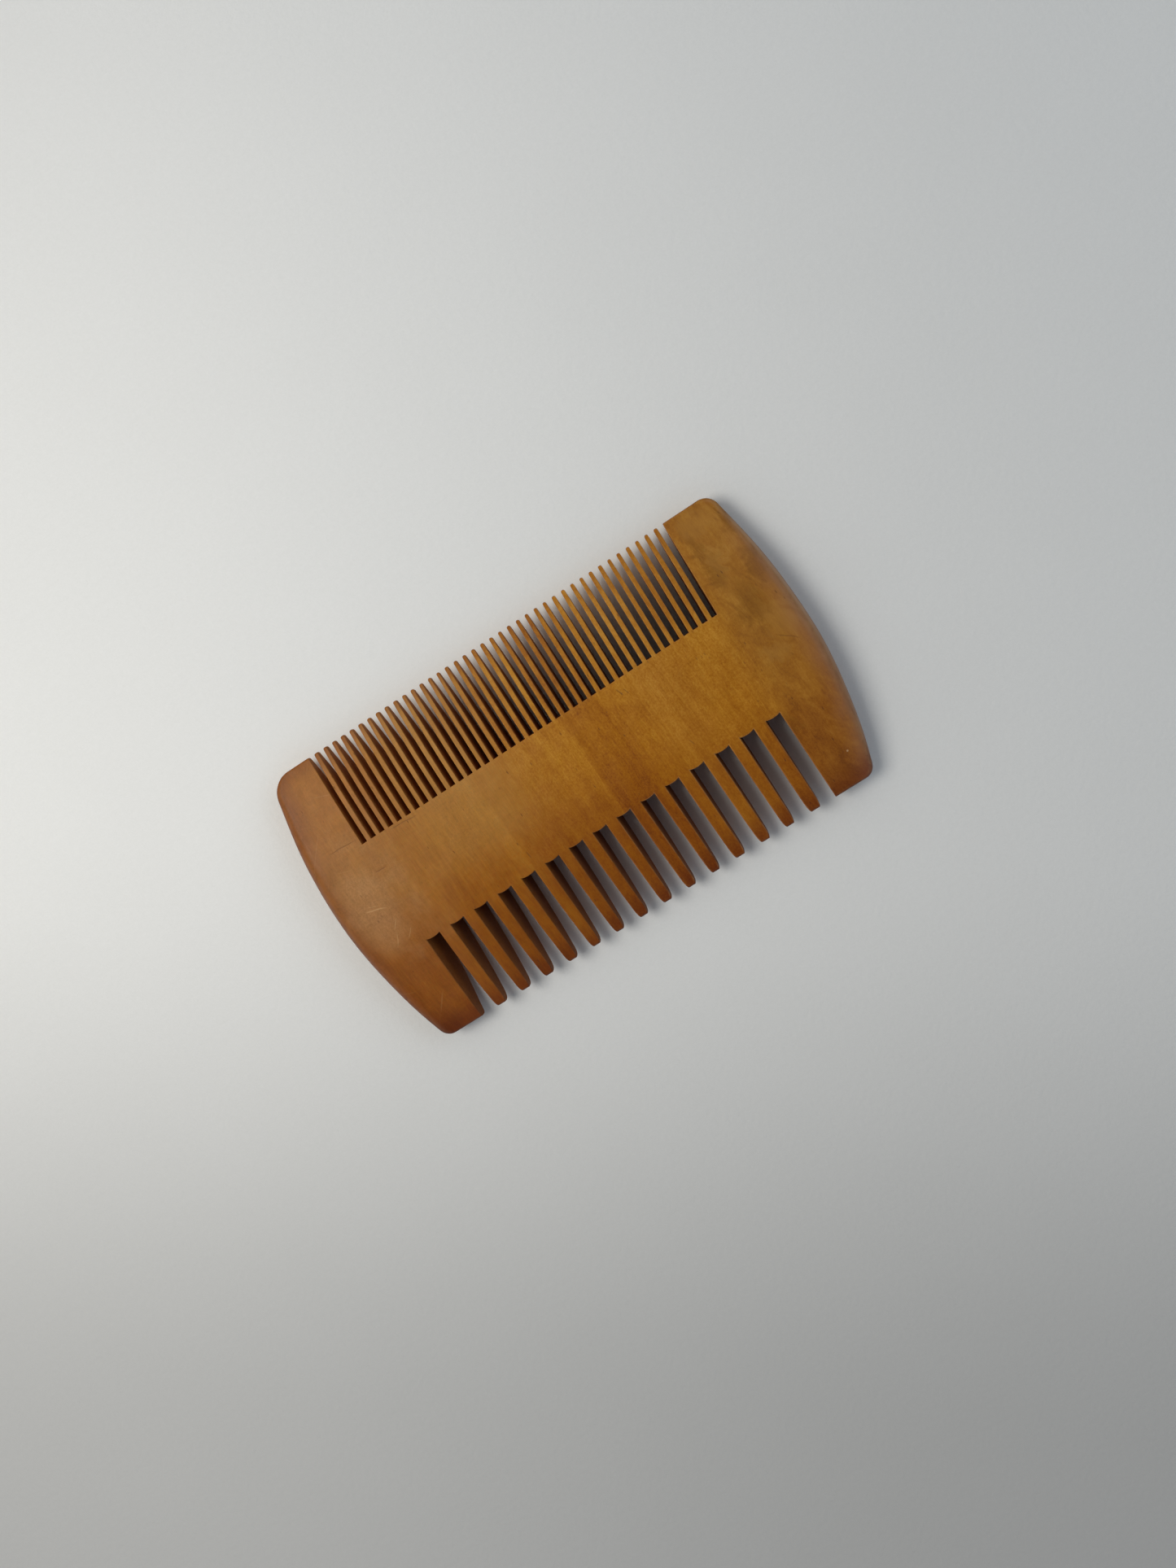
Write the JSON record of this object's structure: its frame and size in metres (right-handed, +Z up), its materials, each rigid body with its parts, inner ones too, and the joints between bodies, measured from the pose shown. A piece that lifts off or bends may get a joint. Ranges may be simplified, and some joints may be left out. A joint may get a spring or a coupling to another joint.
{
  "type": "beard comb",
  "caption": "Double-sided wooden beard comb: lens-shaped board with a fine row of teeth, a coarse row of teeth and solid end guards.",
  "frame": {"origin": "middle of the rest land on the underside, centred on the length and on the width", "axes": "+X along the length, +Y towards the fine teeth, +Z up through the thickness with the comb lying flat"},
  "size_m": [0.1, 0.0564, 0.0066],
  "materials": {
    "wood": "oiled satin"
  },
  "bodies": {
    "root": {"comb_body": "wood"}
  },
  "joints": []
}
